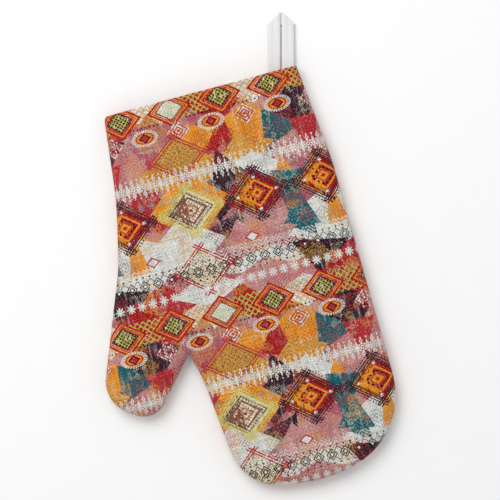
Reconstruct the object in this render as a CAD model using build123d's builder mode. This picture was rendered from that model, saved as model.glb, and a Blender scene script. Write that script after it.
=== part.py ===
import math
import os

from build123d import *

# A lined and padded oven mitt lying flat on its back half, thumb to -X, cuff to +Y.
# Each half is a nest of three plies (printed canvas, wadding, cotton lining), and the two
# halves meet at a seam round the edge. The cuff end is open, so that a hand goes in.
# All sizes are in millimetres. The plan is drawn from the cuff's thumb-side corner, and
# mitt_plane puts that corner where the whole object's box is centred on the origin.

# --- driving dimensions: plan of the mitt ---
mitt_length = 330.0  # cuff edge to fingertips
cuff_width = 162.0  # across the open end
wrist_flare = 8.2  # how far the little-finger side stands out at the wrist
finger_flare = 10.8  # and at the fingers
wrist_depth = 79.0  # cuff edge to the widening of the wrist, little-finger side
crotch_x = 16.5  # thumb crotch, from the cuff's thumb-side corner
crotch_depth = 203.5  # cuff edge to the thumb crotch
thumb_bend_depth = 121.8  # cuff edge to where the thumb side straightens
thumb_wrist_depth = 69.2  # cuff edge to where the thumb side starts to widen
edge_radius = 8.0  # rounding of the padded edge
rim_flat = 0.2  # least straight height between the rounding and the seam

# --- driving dimensions: plies ---
canvas_thickness = 0.7
wadding_thickness = 3.5
lining_thickness = 0.7
ply_gap = 0.15  # clearance between one ply and the next
hand_room = 8.0  # height of the open space for the hand

# --- driving dimensions: stitching ---
seam_gap = 0.4  # between the rims of the two halves, filled by the seam's thread
seam_thread_width = 0.35
seam_thread_inset = 0.15  # thread from its ply's outer face
stitch_size = 0.35  # depth and width of a row of stitches in the lining
quilt_pitch = 36.0  # between parallel rows of quilting
quilt_margin = 3.0  # rows stop short of the rounded edge
cuff_stitch_inset = 1.4  # row along the cuff, from the cuff edge

# --- driving dimensions: hanging loop ---
tape_width = 10.2
tape_thickness = 1.0
leg_gap = 1.2  # slit between the two legs of the loop
shoulder_height = 36.0  # cuff edge to the start of the mitred top
loop_lean = 15.1  # degrees that the loop leans towards the little-finger side
corner_margin = 1.1  # loop's foot from the little-finger corner of the cuff
hinge_stand_off = 0.8  # fold line of the loop, out from the cuff edge
foot_overlap = 0.45  # tape behind the fold line
floor_clearance = 0.2  # loop's head above the surface that the mitt lies on
end_length = 12.0  # sewn-in ends of the tape, inside the cuff
tack_length = 1.6  # a bar tack, along the tape
tack_margin = 1.0  # tack from the tape's edges
tack_depth = 6.0  # tack from the cuff edge

# --- depths of the plies from the mitt's outer face ---
wadding_outer = canvas_thickness + ply_gap
wadding_inner = wadding_outer + wadding_thickness
lining_outer = wadding_inner + ply_gap
lining_inner = lining_outer + lining_thickness
half_height = lining_inner + hand_room / 2
rim_height = half_height - seam_gap / 2
cuff_run_out = 12.0  # how far the forms that cut the cuff open reach past it

# The fingertips' curve was drawn on fingers 156.3 mm wide, and keeps its shape on others.
fingers = (cuff_width + finger_flare - crotch_x) / 156.3

# Corners of the plan as (x, depth from the cuff edge, radius), from the wrist round the
# fingertips and the thumb, and back.
corners = [
    (cuff_width + wrist_flare, wrist_depth, 300.0),
    (cuff_width + finger_flare, mitt_length - 68.0 * fingers, 70.0 * fingers),
    (cuff_width + wrist_flare, mitt_length - 13.0 * fingers, 65.0 * fingers),
    (crotch_x + 83.5 * fingers, mitt_length + 1.6 * fingers, 108.0 * fingers),
    (crotch_x + 15.9 * fingers, mitt_length - 6.3 * fingers, 41.0 * fingers),
    (crotch_x + 5.7, crotch_depth + 21.0, 150.0),
    (crotch_x, crotch_depth, 1.5),
    (crotch_x - 40.1, crotch_depth + 46.4, 19.0),
    (crotch_x - 78.9, crotch_depth + 22.7, 28.0),
    (crotch_x - 37.2, thumb_bend_depth, 135.0),
    (crotch_x - 24.6, thumb_wrist_depth, 300.0),
]


def mitt_plan(inset=0.0, run_out=0.0):
    """The mitt's plan as a flat sketch: shrunk by inset, with its open end moved out."""
    cuff = [(0, run_out, 0), (cuff_width, run_out, 0)]
    if run_out:
        cuff = [(0, 0, 0), *cuff, (cuff_width, 0, 0)]
    outline = cuff + [(x, -depth, radius) for x, depth, radius in corners]
    with BuildSketch() as plan:
        with BuildLine():
            FilletPolyline(
                [(x, y) for x, y, radius in outline],
                radius=[radius for x, y, radius in outline],
                close=True,
            )
        make_face()
        if inset:
            offset(amount=-inset)
    return plan.sketch


# --- where the loop stands: its foot next to the cuff's corner, its head on the surface ---
lean = math.radians(loop_lean)
loop_width = 2 * tape_width + leg_gap
leg_middle = (tape_width + leg_gap) / 2
foot_x = cuff_width - corner_margin - loop_width / math.cos(lean) / 2
tape_height = lining_outer - ply_gap - tape_thickness / 2
head_height = shoulder_height + tape_width
loop_reach = head_height * math.cos(lean) + leg_gap / 2 * math.sin(lean)
droop = math.asin((tape_height - 1.5 * tape_thickness - floor_clearance) / loop_reach)
loop_top = loop_reach * math.cos(droop) + tape_thickness / 2 * math.sin(droop)

# --- the row's frame: the origin is under the middle of the whole object's box ---
plan_box = mitt_plan().bounding_box()
middle_x = (plan_box.min.X + plan_box.max.X) / 2
middle_y = (plan_box.min.Y + hinge_stand_off + loop_top) / 2
mitt_plane = Plane(origin=(-middle_x, -middle_y, 0))
seam_plane = mitt_plane.offset(half_height)
cuff_plane = Plane(origin=(0, -middle_y, 0), z_dir=(0, 1, 0))


def mitt_form(inset, run_out=0.0):
    """The mitt's back half as one solid up to its rim, shrunk by inset on every side."""
    with BuildPart() as form:
        with BuildSketch(mitt_plane.offset(inset)):
            add(mitt_plan(inset, run_out))
        extrude(amount=rim_height - inset)
        floor_edges = form.faces().sort_by(Axis.Z)[0].edges()
        cuff_fold = floor_edges.sort_by(Axis.Y)[-1]
        rounding = min(edge_radius, rim_height - rim_flat)
        fillet([edge for edge in floor_edges if edge != cuff_fold], rounding - inset)
    return form.part


inside_wadding = mitt_form(wadding_inner, cuff_run_out)
hand_space = mitt_form(lining_inner, cuff_run_out)

# --- hanging loop: one tape, folded into two legs side by side with a mitred head ---
fold_line = (foot_x - middle_x, hinge_stand_off - middle_y, tape_height)
fold_plane = Plane(origin=fold_line, z_dir=(0, math.sin(droop), math.cos(droop)), x_dir=(1, 0, 0))
loop_plane = fold_plane.rotated((0, 0, -loop_lean)).offset(-tape_thickness / 2)

with BuildPart() as hanging_loop:
    with BuildSketch(loop_plane):
        with BuildLine():
            Polyline(
                (leg_gap / 2, -tape_width),
                (leg_gap / 2, head_height),
                (loop_width / 2, shoulder_height),
                (loop_width / 2, -tape_width),
                close=True,
            )
        make_face()
        mirror(about=Plane.YZ)
    extrude(amount=tape_thickness)
    with BuildSketch(loop_plane):
        with BuildLine():
            Polyline(
                (-loop_width / 2, shoulder_height),
                (-leg_gap / 2, head_height),
                (leg_gap / 2, head_height),
                (loop_width / 2, shoulder_height),
                close=True,
            )
        make_face()
    extrude(amount=-tape_thickness)
    split(bisect_by=cuff_plane.offset(hinge_stand_off - foot_overlap), keep=Keep.TOP)
hanging_loop.part.label = "hanging_loop"
os.makedirs("parts", exist_ok=True)
export_step(hanging_loop.part, "parts/hanging_loop.step")

# --- the tape's sewn-in ends, in a channel between wadding and lining, and their tacks ---
end_plane = Plane(origin=(foot_x - middle_x, -middle_y, tape_height)).rotated((0, 0, -loop_lean))


def tape_ends(clearance=0.0):
    """Both ends of the tape, running in from the cuff edge, grown by clearance."""
    with BuildPart() as ends:
        with BuildSketch(end_plane.offset(-tape_thickness / 2 - clearance)):
            with Locations((-leg_middle, 0), (leg_middle, 0)):
                Rectangle(tape_width + 2 * clearance, 4 * end_length)
        extrude(amount=tape_thickness + 2 * clearance)
        split(bisect_by=cuff_plane, keep=Keep.BOTTOM)
        split(bisect_by=cuff_plane.offset(-end_length - clearance), keep=Keep.TOP)
    return ends.part


with BuildPart() as loop_tacks:
    with BuildSketch(mitt_plane.offset(tape_height - tape_thickness / 2)):
        with Locations((foot_x - tack_depth * math.tan(lean), -tack_depth)):
            with GridLocations(2 * leg_middle / math.cos(lean), 0, 2, 1):
                Rectangle(tape_width - 2 * tack_margin, tack_length)
    extrude(amount=tape_thickness)
loop_tacks.part.label = "loop_tacks"
export_step(loop_tacks.part, "parts/loop_tacks.step")

with BuildPart() as loop_ends:
    add(tape_ends())
    add(loop_tacks.part, mode=Mode.SUBTRACT)
loop_ends.part.label = "loop_ends"
export_step(loop_ends.part, "parts/loop_ends.step")

# --- stitching of the lining: quilting rows both ways, and a row along the cuff ---
quilt_rows = 2 * math.ceil((mitt_length + cuff_width) / quilt_pitch / 2) + 1
row_length = 2 * (mitt_length + cuff_width)
stitch_plane = mitt_plane.offset(lining_inner - stitch_size)

with BuildPart() as quilting_back:
    with BuildSketch(stitch_plane):
        for slant in (-45, 45):
            with Locations(Location((cuff_width / 2, -mitt_length / 2, 0), (0, 0, slant))):
                with GridLocations(quilt_pitch, 0, quilt_rows, 1):
                    Rectangle(stitch_size, row_length)
        add(mitt_plan(edge_radius + quilt_margin), mode=Mode.INTERSECT)
    extrude(amount=stitch_size)
quilting_back.part.label = "quilting_back"
export_step(quilting_back.part, "parts/quilting_back.step")

with BuildPart() as quilting_front:
    mirror(quilting_back.part, about=seam_plane)
quilting_front.part.label = "quilting_front"
export_step(quilting_front.part, "parts/quilting_front.step")

with BuildPart() as cuff_stitching_back:
    with BuildSketch(stitch_plane):
        with Locations((cuff_width / 2, -cuff_stitch_inset)):
            Rectangle(cuff_width - 4 * edge_radius, stitch_size)
    extrude(amount=stitch_size)
cuff_stitching_back.part.label = "cuff_stitching_back"
export_step(cuff_stitching_back.part, "parts/cuff_stitching_back.step")

with BuildPart() as cuff_stitching_front:
    mirror(cuff_stitching_back.part, about=seam_plane)
cuff_stitching_front.part.label = "cuff_stitching_front"
export_step(cuff_stitching_front.part, "parts/cuff_stitching_front.step")

# --- printed canvas: a shell over the wadding, turned over the cuff edge ---
with BuildPart() as outer_front:
    add(mitt_form(0))
    add(mitt_form(canvas_thickness), mode=Mode.SUBTRACT)
    add(inside_wadding, mode=Mode.SUBTRACT)
    mirror(about=seam_plane, mode=Mode.REPLACE)
outer_front.part.label = "outer_front"
export_step(outer_front.part, "parts/outer_front.step")

with BuildPart() as outer_back:
    mirror(outer_front.part, about=seam_plane)
    add(tape_ends(ply_gap), mode=Mode.SUBTRACT)
outer_back.part.label = "outer_back"
export_step(outer_back.part, "parts/outer_back.step")

# --- wadding ---
with BuildPart() as wadding_front:
    add(mitt_form(wadding_outer))
    add(inside_wadding, mode=Mode.SUBTRACT)
    mirror(about=seam_plane, mode=Mode.REPLACE)
wadding_front.part.label = "wadding_front"
export_step(wadding_front.part, "parts/wadding_front.step")

with BuildPart() as wadding_back:
    mirror(wadding_front.part, about=seam_plane)
    add(tape_ends(ply_gap), mode=Mode.SUBTRACT)
wadding_back.part.label = "wadding_back"
export_step(wadding_back.part, "parts/wadding_back.step")

# --- cotton lining, with its rows of stitches let into its face ---
with BuildPart() as lining_back:
    add(mitt_form(lining_outer, cuff_run_out))
    add(hand_space, mode=Mode.SUBTRACT)
    split(bisect_by=cuff_plane, keep=Keep.BOTTOM)
    add(quilting_back.part, mode=Mode.SUBTRACT)
    add(cuff_stitching_back.part, mode=Mode.SUBTRACT)
lining_back.part.label = "lining_back"
export_step(lining_back.part, "parts/lining_back.step")

with BuildPart() as lining_front:
    mirror(lining_back.part, about=seam_plane)
lining_front.part.label = "lining_front"
export_step(lining_front.part, "parts/lining_front.step")


# --- seam threads, in the gap between the rims of the two halves ---
def seam_thread(ply_depth):
    """The thread that joins the two halves of the ply whose outer face is at ply_depth."""
    thread_inset = ply_depth + seam_thread_inset
    with BuildPart() as thread:
        with BuildSketch(mitt_plane.offset(rim_height)):
            add(mitt_plan(thread_inset, cuff_run_out))
            add(mitt_plan(thread_inset + seam_thread_width, cuff_run_out), mode=Mode.SUBTRACT)
        extrude(amount=seam_gap)
        split(bisect_by=cuff_plane, keep=Keep.BOTTOM)
    return thread.part


with BuildPart() as side_seam_thread:
    add(seam_thread(0))
side_seam_thread.part.label = "side_seam_thread"
export_step(side_seam_thread.part, "parts/side_seam_thread.step")

with BuildPart() as lining_seam_thread:
    add(seam_thread(lining_outer))
lining_seam_thread.part.label = "lining_seam_thread"
export_step(lining_seam_thread.part, "parts/lining_seam_thread.step")
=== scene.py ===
"""The looks of an oven mitt: printed canvas over wadding, a cotton lining and a tape loop.

Lengths are in millimetres, and at_row turns them into metres. Plan points are (x, depth from
the cuff edge), counted from the cuff's thumb-side corner.
"""

import math

import bmesh
import bpy
import numpy as np
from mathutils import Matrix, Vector, noise
from mathutils.geometry import delaunay_2d_cdt
from mathutils.kdtree import KDTree


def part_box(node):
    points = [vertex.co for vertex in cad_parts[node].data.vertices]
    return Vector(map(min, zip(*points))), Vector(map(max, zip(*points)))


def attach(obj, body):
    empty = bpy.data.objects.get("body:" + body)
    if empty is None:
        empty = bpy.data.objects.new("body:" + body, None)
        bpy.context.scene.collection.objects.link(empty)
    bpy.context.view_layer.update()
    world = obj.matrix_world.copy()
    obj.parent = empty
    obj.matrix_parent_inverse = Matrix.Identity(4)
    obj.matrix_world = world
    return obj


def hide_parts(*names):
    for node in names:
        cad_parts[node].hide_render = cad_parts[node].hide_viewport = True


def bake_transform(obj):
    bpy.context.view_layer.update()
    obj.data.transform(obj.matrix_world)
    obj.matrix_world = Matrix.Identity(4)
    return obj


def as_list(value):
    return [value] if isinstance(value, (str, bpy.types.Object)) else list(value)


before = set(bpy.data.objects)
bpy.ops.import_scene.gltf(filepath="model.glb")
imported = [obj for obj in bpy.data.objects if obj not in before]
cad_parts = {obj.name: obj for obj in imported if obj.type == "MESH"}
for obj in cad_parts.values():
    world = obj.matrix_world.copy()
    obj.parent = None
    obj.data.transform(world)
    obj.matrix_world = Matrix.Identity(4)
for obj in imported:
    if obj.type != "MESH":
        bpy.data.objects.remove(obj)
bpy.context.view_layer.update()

MM = 0.001
BOTH = (True, False)  # the front half, and then the back one
NAME = {True: "front", False: "back"}
SIGN = {True: 1, False: -1}

# --- the mitt's plan: corners as (x, depth, radius), the same as the CAD model's ---
CUFF_WIDTH = 162.0
CROTCH = (16.5, 203.5)
CORNERS = [
    (0.0, 0.0, 0.0),
    (-8.1, 69.2, 300.0),
    (-20.7, 121.8, 135.0),
    (-62.4, 226.2, 28.0),
    (-23.6, 249.9, 19.0),
    (*CROTCH, 1.5),
    (22.2, 224.5, 150.0),
    (32.4, 323.7, 41.0),
    (100.0, 331.6, 108.0),
    (170.2, 317.0, 65.0),
    (172.8, 262.0, 70.0),
    (170.2, 79.0, 300.0),
    (CUFF_WIDTH, 0.0, 0.0),
]
CUFF_CORNERS = [(0.0, 1, 3.2), (CUFF_WIDTH, -1, 1.2)]  # (x, way inwards, radius)
EDGE_STEP = 0.25  # between points of the side edge
NEAR_CUFF = 200  # points at each end of the side edge that are beside the cuff
CROTCH_REACH = 2.1  # length of edge on each side of the thumb crotch that has closer points
CROTCH_POINTS = 12
TANGENT_REACH = 0.6  # the edge's direction is taken between points this far off, both ways
LEVEL_WITHIN = 40.0  # length of edge from the cuff over which lines of points may run level
LEVEL_FADE = 20.0  # depth over which they stop running level

# --- heights, from the surface that the mitt lies on ---
SEAM = 9.2  # the side seam
SIDE_LIP = 1.0  # the widest line of each half, above or below the seam
PLY = 5.2  # canvas, wadding and lining together
CANVAS = 0.6
LINING = 0.6
HAND_ROOM = 8.0
FLOOR_GAP = 0.03
LIP = 2.4  # how far in the canvas's turn over the cuff edge reaches
LIP_STRETCH = 1.45  # cloth round the lip, for each millimetre of its depth

# --- meshes ---
STEP = 2.6  # between the plan's points
RIM = 7.2  # distance from the side edge over which a half rises most
RINGS = [0.0, 0.45, 1.1, 2.1, 3.5, 5.2, RIM]  # distances of points from the side edge
ROWS = [0.0, 0.2, 0.6, 1.2, 1.8, 2.4, 3.4, 4.6, 6.2, 8.4]  # depths of points near the cuff
HEM_ROWS = 8  # rows of the canvas that are turned inside the mouth
COARSE_STEP = 6.0
COARSE_RINGS = [0.0, 3.0, RIM]
COARSE_ROWS = [0.0, 3.0, ROWS[-1]]


def lengths_along(points):
    """The length of a line up to each of its points."""
    return np.concatenate([[0], np.cumsum(np.linalg.norm(np.diff(points, axis=0), axis=1))])


def arc(before, corner, after):
    """Points along the rounding of one corner of the plan."""
    at, radius = np.array(corner[:2]), corner[2]
    a, b = np.array(before[:2]) - at, np.array(after[:2]) - at
    a, b = a / np.linalg.norm(a), b / np.linalg.norm(b)
    half = math.acos(float(np.clip(a @ b, -1, 1))) / 2
    middle = at + (a + b) / np.linalg.norm(a + b) * radius / math.sin(half)
    start = at + a * radius / math.tan(half) - middle
    end = at + b * radius / math.tan(half) - middle
    turn = math.copysign(math.pi - 2 * half, start[0] * end[1] - start[1] * end[0])
    for t in np.linspace(0, turn, max(3, int(abs(turn) * radius / EDGE_STEP))):
        c, s = math.cos(t), math.sin(t)
        yield middle + [c * start[0] - s * start[1], s * start[0] + c * start[1]]


def outline():
    """Even points along the side edge, from the thumb-side corner of the cuff to the other."""
    points = [np.array(CORNERS[0][:2])]
    for before, corner, after in zip(CORNERS, CORNERS[1:], CORNERS[2:]):
        points += arc(before, corner, after)
    points = np.array([*points, CORNERS[-1][:2]])
    along = lengths_along(points)
    keep = np.concatenate([[True], np.diff(along) > 1e-6])
    even = np.arange(0, along[-1], EDGE_STEP)
    edge = np.stack([np.interp(even, along[keep], points[keep, k]) for k in (0, 1)], 1)
    edge[-1] = CORNERS[-1][:2]
    return edge


EDGE = outline()


def side_distance(points, batch=2000):
    """Distance of plan points from the side edge, which is taken to run on past the cuff."""
    first = EDGE[0] + (EDGE[0] - EDGE[8]) * 6
    last = EDGE[-1] + (EDGE[-1] - EDGE[-9]) * 6
    line = np.concatenate([[first], EDGE[::2], [EDGE[-1], last]])
    a, b = line[:-1], line[1:]
    d = b - a
    best = np.empty(len(points))
    for start in range(0, len(points), batch):
        p = points[start : start + batch, None, :]
        t = np.clip(((p - a) * d).sum(2) / np.maximum((d * d).sum(1), 1e-9), 0, 1)
        best[start : start + batch] = np.linalg.norm(p - (a + t[..., None] * d), axis=2).min(1)
    return best


def inside(points, ring):
    """Which points lie inside a closed ring."""
    hit = np.zeros(len(points), bool)
    for a, b in zip(ring, np.roll(ring, -1, 0)):
        if a[1] != b[1]:
            cross = (points[:, 1] < a[1]) != (points[:, 1] < b[1])
            at = a[0] + (points[:, 1] - a[1]) / (b[1] - a[1]) * (b[0] - a[0])
            hit ^= cross & (points[:, 0] < at)
    return hit


def quads(lines):
    """Faces between each line of point numbers and the next."""
    return [
        (one[j], two[j], two[j + 1], one[j + 1])
        for one, two in zip(lines, lines[1:])
        for j in range(len(one) - 1)
    ]


class Plan:
    """A flat mesh of the mitt: bands of quads along its edges and triangles inside."""

    def __init__(self, step, rings, rows):
        self.step, self.rings, self.rows = step, rings, rows
        self.points, self.inward = [], []
        self.add_side_band()
        self.add_cuff_band()
        self.faces = quads(self.side) + quads(self.middle)
        beside_cuff = len(rows) - 1
        ring = [line[-1] for line in self.side[beside_cuff : len(self.side) - beside_cuff]]
        self.fill(ring + self.middle[-1][-2:0:-1])
        self.points = np.array(self.points)
        self.inward = np.array(self.inward)
        self.depth = self.points[:, 1]
        self.distance = side_distance(self.points)
        self.round_corners()

    def add(self, point, inward=(0, 0)):
        self.points.append(np.array(point, float))
        self.inward.append(np.array(inward, float))
        return len(self.points) - 1

    def side_places(self, along):
        """Where along the side edge the side band has its lines."""
        depths, last_depths = EDGE[:NEAR_CUFF, 1], EDGE[-NEAR_CUFF:, 1]
        left = [np.interp(v, depths, along[:NEAR_CUFF]) for v in self.rows]
        right = [np.interp(-v, -last_depths, along[-NEAR_CUFF:]) for v in self.rows]
        count = int((right[-1] - left[-1]) / self.step) + 1
        between = np.linspace(left[-1], right[-1], count)
        crotch = along[np.argmin(np.hypot(EDGE[:, 0] - CROTCH[0], EDGE[:, 1] - CROTCH[1]))]
        close = max(3, int(CROTCH_POINTS * STEP / self.step))
        tight = crotch + np.linspace(-CROTCH_REACH, CROTCH_REACH, close)
        between = between[abs(between - crotch) > CROTCH_REACH + self.step / 3]
        between = np.sort(np.concatenate([between, tight]))
        return np.concatenate([left[:-1], between, right[-2::-1]])

    def add_side_band(self):
        """Lines of points inwards from the side edge, which run level beside the cuff."""
        along = lengths_along(EDGE)
        places = self.side_places(along)
        side, ahead, behind = [
            np.stack([np.interp(places + shift, along, EDGE[:, k]) for k in (0, 1)], 1)
            for shift in (0, TANGENT_REACH, -TANGENT_REACH)
        ]
        tangent = ahead - behind
        tangent /= np.linalg.norm(tangent, axis=1)[:, None]
        self.normal = np.stack([tangent[:, 1], -tangent[:, 0]], 1)
        level = np.stack([np.sign(self.normal[:, 0]), np.zeros(len(side))], 1)
        near = 1 - np.clip((side[:, 1] - self.rows[-1]) / LEVEL_FADE, 0, 1)
        near = np.where(np.minimum(places, along[-1] - places) < LEVEL_WITHIN, near, 0)[:, None]
        way = self.normal * (1 - near) + level * near
        way /= (way * self.normal).sum(1)[:, None]
        self.side = [
            [self.add(at + to * s, normal) for s in self.rings]
            for at, to, normal in zip(side, way, self.normal)
        ]

    def add_cuff_band(self):
        """Rows of points beside the cuff, from one side band to the other."""
        across = int((CUFF_WIDTH - 2 * self.rings[-1]) / self.step)
        self.middle = []
        for k in range(len(self.rows)):
            a, b = self.side[k][-1], self.side[-1 - k][-1]
            reach = self.points[b] - self.points[a]
            inner = [self.add(self.points[a] + reach * m / across) for m in range(1, across)]
            self.middle.append([a, *inner, b])

    def row(self, k):
        """The points of one row beside the cuff, from side edge to side edge."""
        return self.side[k][:-1] + self.middle[k] + self.side[-1 - k][-2::-1]

    def fill(self, ring):
        """Triangles inside a ring of points, on a grid of even triangles."""
        low, high = EDGE.min(0), EDGE.max(0)
        depths = np.arange(low[1], high[1], self.step * 0.866)
        across = np.arange(low[0], high[0], self.step)
        grid = np.array(
            [(x + (i % 2) * self.step / 2, y) for i, y in enumerate(depths) for x in across]
        )
        margin = self.step * 0.62
        grid = grid[side_distance(grid) > self.rings[-1] + margin]
        grid = grid[grid[:, 1] > self.rows[-1] + margin]
        border = np.array([self.points[i] for i in ring])
        grid = grid[inside(grid, border)]
        verts = [Vector(p) for p in np.concatenate([border, grid])]
        found = delaunay_2d_cdt(verts, [], [list(range(len(ring)))], 1, 1e-5)
        index = {}
        for out, (source, *_) in enumerate(found[3]):
            index[out] = ring[source] if source < len(ring) else self.add(verts[source])
        self.faces += [tuple(index[v] for v in face[::-1]) for face in found[2]]

    def round_corners(self):
        """Rounds the cuff's two corners in plan."""
        for corner, way, radius in CUFF_CORNERS:
            local = (radius - (self.points[:, 0] - corner) * way) / radius
            down = (radius - self.points[:, 1]) / radius
            inner = (local > 0) & (down > 0)
            a, b = np.minimum(local[inner], 1), np.minimum(down[inner], 1)
            self.points[inner, 0] = corner + way * (radius - radius * a * np.sqrt(1 - b * b / 2))
            self.points[inner, 1] = radius - radius * b * np.sqrt(1 - a * a / 2)


def ease(value, reach):
    """A quarter of an ellipse: 0 at 0, 1 from reach on."""
    return np.sqrt(1 - (1 - np.clip(value / reach, 0, 1)) ** 2)


def swell(value, reach):
    """A slow rise: 0 at 0, 1 from reach on."""
    return 1 - (1 - np.clip(value / reach, 0, 1)) ** 2


def outer_rise(s, front):
    """Height of a half's outer surface from the seam, at a distance s from the side edge."""
    if front:
        share = 0.66 * ease(s, RIM) + 0.24 * swell(s, 26) + 0.10 * swell(s, 60)
    else:
        share = 0.74 * ease(s, RIM) + 0.26 * swell(s, 20)
    return SIDE_LIP + (SEAM - SIDE_LIP) * share


def inner_rise(s):
    """Height of a half's lining from the seam."""
    least = 0.12
    return least + (HAND_ROOM / 2 - least) * ease(np.maximum(s - PLY, 0), 26)


def plies(s, front):
    """Height from the seam of the middle of a half's plies, and half their thickness."""
    high, low = outer_rise(s, front), inner_rise(s)
    return (high + low) / 2, (high - low) / 2


def canvas_rise(plan, front):
    """Height of a half's canvas from the seam, rounded over at the cuff edge."""
    middle, half = plies(plan.distance, front)
    return middle + half * ease(plan.depth, LIP)


# --- a coarse shell of the whole mitt is blown up as cloth, for its uneven fullness ---
CALM = 0.9  # share of its full height that the shell starts from
MOST = 2.2  # the most that the cloth may move
HALFWAY = 15.0  # a point that the cloth moves this far is moved half of the most
FRAMES = 20


def coarse_shell():
    """A closed mesh of both halves: its plan, the plan's points used, its own points and faces."""
    plan = Plan(COARSE_STEP, COARSE_RINGS, COARSE_ROWS)
    size = len(plan.points)
    on_seam = {line[0] for line in plan.side}
    front, back = [
        np.column_stack([plan.points, SEAM + SIGN[half] * CALM * canvas_rise(plan, half)])
        for half in BOTH
    ]
    front[list(on_seam), 2] = back[list(on_seam), 2] = SEAM
    number = {i: (i if i in on_seam else size + i) for i in range(size)}
    mouth = plan.row(0)
    faces = list(plan.faces)
    faces += [tuple(number[i] for i in f[::-1]) for f in plan.faces]
    faces += [
        tuple(dict.fromkeys((a, b, number[b], number[a]))) for a, b in zip(mouth, mouth[1:])
    ]
    used = sorted({i for f in faces for i in f})
    fresh = {old: new for new, old in enumerate(used)}
    points = np.concatenate([front, back])[used]
    return plan, on_seam, used, points, [[fresh[i] for i in f] for f in faces]


def press_out(rest, faces, held):
    """The points of a closed mesh after it is blown up as cloth, with some of them held."""
    mesh = bpy.data.meshes.new("cloth_shell")
    mesh.from_pydata((rest * MM).tolist(), [], faces)
    mesh.update()
    shell = bpy.data.objects.new("cloth_shell", mesh)
    bpy.context.scene.collection.objects.link(shell)
    shell.vertex_groups.new(name="held").add(held, 1.0, "REPLACE")
    settings = shell.modifiers.new("cloth", "CLOTH").settings
    settings.quality = 6
    settings.mass = 0.2
    settings.tension_stiffness = settings.compression_stiffness = 40
    settings.shear_stiffness = 15
    settings.bending_stiffness = 3
    settings.use_pressure = True
    settings.uniform_pressure_force = 4
    settings.shrink_min = -0.012
    settings.vertex_group_mass = "held"
    settings.effector_weights.gravity = 0
    for number in range(1, FRAMES + 1):
        bpy.context.scene.frame_set(number)
    evaluated = shell.evaluated_get(bpy.context.evaluated_depsgraph_get())
    after = np.array([v.co for v in evaluated.data.vertices]) / MM
    bpy.context.scene.frame_set(1)
    bpy.data.objects.remove(shell)
    bpy.data.meshes.remove(mesh)
    return after


def blown():
    """The coarse shell's points, how the cloth moves them, and which are on each half."""
    plan, on_seam, used, rest, faces = coarse_shell()
    size = len(plan.points)
    held = [new for new, old in enumerate(used) if plan.depth[old % size] < ROWS[-1] + 0.1]
    moved = press_out(rest, faces, held) - rest
    moved *= (MOST / (np.linalg.norm(moved, axis=1) + HALFWAY))[:, None]
    of_half = {
        front: [new for new, old in enumerate(used) if old in on_seam or (old < size) == front]
        for front in BOTH
    }
    return rest, moved, of_half


def puff(points, front, sim):
    """How far each plan point of a half is moved by the cloth."""
    result = np.zeros((len(points), 3))
    if sim is None:
        return result
    rest, moved, of_half = sim
    tree = KDTree(len(of_half[front]))
    for k in of_half[front]:
        tree.insert((rest[k][0], rest[k][1], 0), k)
    tree.balance()
    for i, (x, y) in enumerate(points):
        near = tree.find_n((x, y, 0), 5)
        weight = np.array([1 / (n[2] + 1.5) ** 2 for n in near])
        result[i] = (moved[[n[1] for n in near]] * weight[:, None]).sum(0) / weight.sum()
    return result


def wander(points, scale, seed):
    """Smooth unevenness between -1 and 1 over plan points."""
    return np.array([noise.noise(Vector((x / scale, y / scale, seed))) for x, y in points])


UNEVEN = 0.45  # unevenness of the upper half
PUCKER = 0.32  # puckers beside the seam
PUCKER_SEEDS = {True: 5.1, False: 8.4}


def half_shifts(plan, sim):
    """How far the plan's points move on each half: by the cloth, unevenness and puckers."""
    s, v = plan.distance, plan.depth
    shift = {front: puff(plan.points, front, sim) for front in BOTH}
    for moved in shift.values():
        moved[:, :2] *= np.clip(s / 12, 0.15, 1)[:, None] * 0.5
        moved[:, 2] -= np.median(moved[s > 20][:, 2]) * np.clip(s / 20, 0, 1)
        moved[:, 2] *= np.clip(v / 25, 0.1, 1)
    both = (shift[True] + shift[False]) / 2
    own = np.clip((s - 1) / 8, 0, 1)[:, None]
    shift = {front: both * (1 - own) + moved * own for front, moved in shift.items()}
    uneven = wander(plan.points, 38.0, 2.7)
    shift[True][:, 2] += UNEVEN * uneven * np.clip(s / 20, 0, 1) * np.clip(v / 25, 0.1, 1)
    beside_seam = np.exp(-(((s - 3.6) / 2.8) ** 2)) * np.clip(s, 0, 1)
    for front, seed in PUCKER_SEEDS.items():
        pucker = wander(plan.points, 6.5, seed)
        shift[front][:, 2] += PUCKER * pucker * beside_seam * np.clip(v / 12, 0, 1)
    return shift


plan = Plan(STEP, RINGS, ROWS)
shift = half_shifts(plan, blown())

low_corner, high_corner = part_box("outer_front")
PLACE = np.array([low_corner.x / MM - EDGE[:, 0].min(), high_corner.y / MM])


def at_row(points):
    """Plan points with heights, in mm, as points of the row's frame, in metres."""
    x, depth, height = np.asarray(points, float).T
    return np.column_stack([x + PLACE[0], PLACE[1] - depth, height]) * MM


def rim_length(s, front):
    """Cloth between a distance s from the side edge and the innermost ring, along the surface."""
    steps = np.linspace(0, RIM, 60)
    far = lengths_along(np.column_stack([steps, outer_rise(steps, front)]))
    return far[-1] - np.interp(s, steps, far)


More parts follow.
